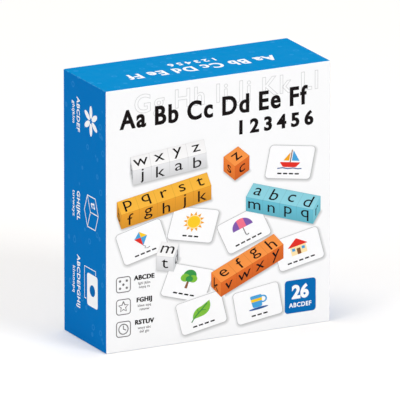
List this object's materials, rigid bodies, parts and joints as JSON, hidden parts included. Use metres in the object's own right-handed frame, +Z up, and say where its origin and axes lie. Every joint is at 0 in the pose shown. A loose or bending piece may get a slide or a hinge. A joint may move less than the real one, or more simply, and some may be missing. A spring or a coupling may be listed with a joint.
{
  "type": "word game box",
  "caption": "Upright telescoping game box of wrapped board: a lift-off lid over a base tray that holds letter cubes in an egg-crate, picture word cards and a rules leaflet.",
  "frame": {"origin": "under the middle of the closed box's footprint, on the surface it stands on", "axes": "+Z up along the tall sides, -Y out of the lid's printed face, +X to the right seen from there"},
  "size_m": [0.194, 0.074, 0.21],
  "materials": {
    "lid_paper": "satin laminated print",
    "base_paper": "satin laminated print",
    "greyboard": "matt",
    "stay_paper": "matt",
    "insert_board": "matt",
    "card_stock": "satin",
    "leaflet_paper": "matt",
    "yellow_paint": "satin paint",
    "orange_paint": "satin paint",
    "teal_paint": "satin paint",
    "white_paint": "satin paint"
  },
  "bodies": {
    "base": {"base_board": "greyboard", "base_wrap": "base_paper", "base_corner_stays": "stay_paper"},
    "lid": {"lid_board": "greyboard", "lid_wrap": "lid_paper", "lid_corner_stays": "stay_paper"},
    "riser": {"riser": "insert_board"},
    "crate": {"cell_shelf_1": "insert_board", "cell_shelf_2": "insert_board", "cell_shelf_3": "insert_board", "cell_shelf_4": "insert_board", "cell_shelf_5": "insert_board", "cell_divider_1": "insert_board", "cell_divider_2": "insert_board", "cell_divider_3": "insert_board", "cell_divider_4": "insert_board", "cell_divider_5": "insert_board", "cell_divider_6": "insert_board", "finger_channel": "insert_board"},
    "left_cards": {"word_cards_left": "card_stock"},
    "right_cards": {"word_cards_right": "card_stock"},
    "leaflet": {"rules_leaflet": "leaflet_paper"},
    "yellow_cube_1": {"yellow_cube_1": "yellow_paint"},
    "yellow_cube_2": {"yellow_cube_2": "yellow_paint"},
    "yellow_cube_3": {"yellow_cube_3": "yellow_paint"},
    "yellow_cube_4": {"yellow_cube_4": "yellow_paint"},
    "yellow_cube_5": {"yellow_cube_5": "yellow_paint"},
    "orange_cube_1": {"orange_cube_1": "orange_paint"},
    "orange_cube_2": {"orange_cube_2": "orange_paint"},
    "orange_cube_3": {"orange_cube_3": "orange_paint"},
    "orange_cube_4": {"orange_cube_4": "orange_paint"},
    "orange_cube_5": {"orange_cube_5": "orange_paint"},
    "teal_cube_1": {"teal_cube_1": "teal_paint"},
    "teal_cube_2": {"teal_cube_2": "teal_paint"},
    "teal_cube_3": {"teal_cube_3": "teal_paint"},
    "teal_cube_4": {"teal_cube_4": "teal_paint"},
    "teal_cube_5": {"teal_cube_5": "teal_paint"},
    "white_cube_1": {"white_cube_1": "white_paint"},
    "white_cube_2": {"white_cube_2": "white_paint"},
    "white_cube_3": {"white_cube_3": "white_paint"},
    "white_cube_4": {"white_cube_4": "white_paint"},
    "white_cube_5": {"white_cube_5": "white_paint"}
  },
  "joints": [
    {"name": "lid_lift", "type": "slide", "parent": "base", "child": "lid", "axis": [0, -1, 0], "range_m": [0, 0.3]},
    {"name": "riser_lift", "type": "slide", "parent": "base", "child": "riser", "axis": [0, -1, 0], "range_m": [0, 0.073]},
    {"name": "crate_lift", "type": "slide", "parent": "base", "child": "crate", "axis": [0, -1, 0], "range_m": [0, 0.103]},
    {"name": "left_cards_lift", "type": "slide", "parent": "base", "child": "left_cards", "axis": [0, -1, 0], "range_m": [0, 0.166]},
    {"name": "right_cards_lift", "type": "slide", "parent": "base", "child": "right_cards", "axis": [0, -1, 0], "range_m": [0, 0.166]},
    {"name": "leaflet_lift", "type": "slide", "parent": "base", "child": "leaflet", "axis": [0, -1, 0], "range_m": [0, 0.217]},
    {"name": "yellow_cube_1_lift", "type": "slide", "parent": "base", "child": "yellow_cube_1", "axis": [0, -1, 0], "range_m": [0, 0.139]},
    {"name": "yellow_cube_2_lift", "type": "slide", "parent": "base", "child": "yellow_cube_2", "axis": [0, -1, 0], "range_m": [0, 0.139]},
    {"name": "yellow_cube_3_lift", "type": "slide", "parent": "base", "child": "yellow_cube_3", "axis": [0, -1, 0], "range_m": [0, 0.139]},
    {"name": "yellow_cube_4_lift", "type": "slide", "parent": "base", "child": "yellow_cube_4", "axis": [0, -1, 0], "range_m": [0, 0.139]},
    {"name": "yellow_cube_5_lift", "type": "slide", "parent": "base", "child": "yellow_cube_5", "axis": [0, -1, 0], "range_m": [0, 0.139]},
    {"name": "orange_cube_1_lift", "type": "slide", "parent": "base", "child": "orange_cube_1", "axis": [0, -1, 0], "range_m": [0, 0.151]},
    {"name": "orange_cube_2_lift", "type": "slide", "parent": "base", "child": "orange_cube_2", "axis": [0, -1, 0], "range_m": [0, 0.151]},
    {"name": "orange_cube_3_lift", "type": "slide", "parent": "base", "child": "orange_cube_3", "axis": [0, -1, 0], "range_m": [0, 0.151]},
    {"name": "orange_cube_4_lift", "type": "slide", "parent": "base", "child": "orange_cube_4", "axis": [0, -1, 0], "range_m": [0, 0.151]},
    {"name": "orange_cube_5_lift", "type": "slide", "parent": "base", "child": "orange_cube_5", "axis": [0, -1, 0], "range_m": [0, 0.151]},
    {"name": "teal_cube_1_lift", "type": "slide", "parent": "base", "child": "teal_cube_1", "axis": [0, -1, 0], "range_m": [0, 0.163]},
    {"name": "teal_cube_2_lift", "type": "slide", "parent": "base", "child": "teal_cube_2", "axis": [0, -1, 0], "range_m": [0, 0.163]},
    {"name": "teal_cube_3_lift", "type": "slide", "parent": "base", "child": "teal_cube_3", "axis": [0, -1, 0], "range_m": [0, 0.163]},
    {"name": "teal_cube_4_lift", "type": "slide", "parent": "base", "child": "teal_cube_4", "axis": [0, -1, 0], "range_m": [0, 0.163]},
    {"name": "teal_cube_5_lift", "type": "slide", "parent": "base", "child": "teal_cube_5", "axis": [0, -1, 0], "range_m": [0, 0.163]},
    {"name": "white_cube_1_lift", "type": "slide", "parent": "base", "child": "white_cube_1", "axis": [0, -1, 0], "range_m": [0, 0.175]},
    {"name": "white_cube_2_lift", "type": "slide", "parent": "base", "child": "white_cube_2", "axis": [0, -1, 0], "range_m": [0, 0.175]},
    {"name": "white_cube_3_lift", "type": "slide", "parent": "base", "child": "white_cube_3", "axis": [0, -1, 0], "range_m": [0, 0.175]},
    {"name": "white_cube_4_lift", "type": "slide", "parent": "base", "child": "white_cube_4", "axis": [0, -1, 0], "range_m": [0, 0.175]},
    {"name": "white_cube_5_lift", "type": "slide", "parent": "base", "child": "white_cube_5", "axis": [0, -1, 0], "range_m": [0, 0.175]}
  ],
  "couplings": [
    {"joint": "riser_lift", "follows": "lid_lift", "ratio": 0.24},
    {"joint": "crate_lift", "follows": "lid_lift", "ratio": 0.34},
    {"joint": "left_cards_lift", "follows": "lid_lift", "ratio": 0.55},
    {"joint": "right_cards_lift", "follows": "lid_lift", "ratio": 0.55},
    {"joint": "leaflet_lift", "follows": "lid_lift", "ratio": 0.72},
    {"joint": "yellow_cube_1_lift", "follows": "lid_lift", "ratio": 0.46},
    {"joint": "yellow_cube_2_lift", "follows": "lid_lift", "ratio": 0.46},
    {"joint": "yellow_cube_3_lift", "follows": "lid_lift", "ratio": 0.46},
    {"joint": "yellow_cube_4_lift", "follows": "lid_lift", "ratio": 0.46},
    {"joint": "yellow_cube_5_lift", "follows": "lid_lift", "ratio": 0.46},
    {"joint": "orange_cube_1_lift", "follows": "lid_lift", "ratio": 0.5},
    {"joint": "orange_cube_2_lift", "follows": "lid_lift", "ratio": 0.5},
    {"joint": "orange_cube_3_lift", "follows": "lid_lift", "ratio": 0.5},
    {"joint": "orange_cube_4_lift", "follows": "lid_lift", "ratio": 0.5},
    {"joint": "orange_cube_5_lift", "follows": "lid_lift", "ratio": 0.5},
    {"joint": "teal_cube_1_lift", "follows": "lid_lift", "ratio": 0.54},
    {"joint": "teal_cube_2_lift", "follows": "lid_lift", "ratio": 0.54},
    {"joint": "teal_cube_3_lift", "follows": "lid_lift", "ratio": 0.54},
    {"joint": "teal_cube_4_lift", "follows": "lid_lift", "ratio": 0.54},
    {"joint": "teal_cube_5_lift", "follows": "lid_lift", "ratio": 0.54},
    {"joint": "white_cube_1_lift", "follows": "lid_lift", "ratio": 0.58},
    {"joint": "white_cube_2_lift", "follows": "lid_lift", "ratio": 0.58},
    {"joint": "white_cube_3_lift", "follows": "lid_lift", "ratio": 0.58},
    {"joint": "white_cube_4_lift", "follows": "lid_lift", "ratio": 0.58},
    {"joint": "white_cube_5_lift", "follows": "lid_lift", "ratio": 0.58}
  ]
}
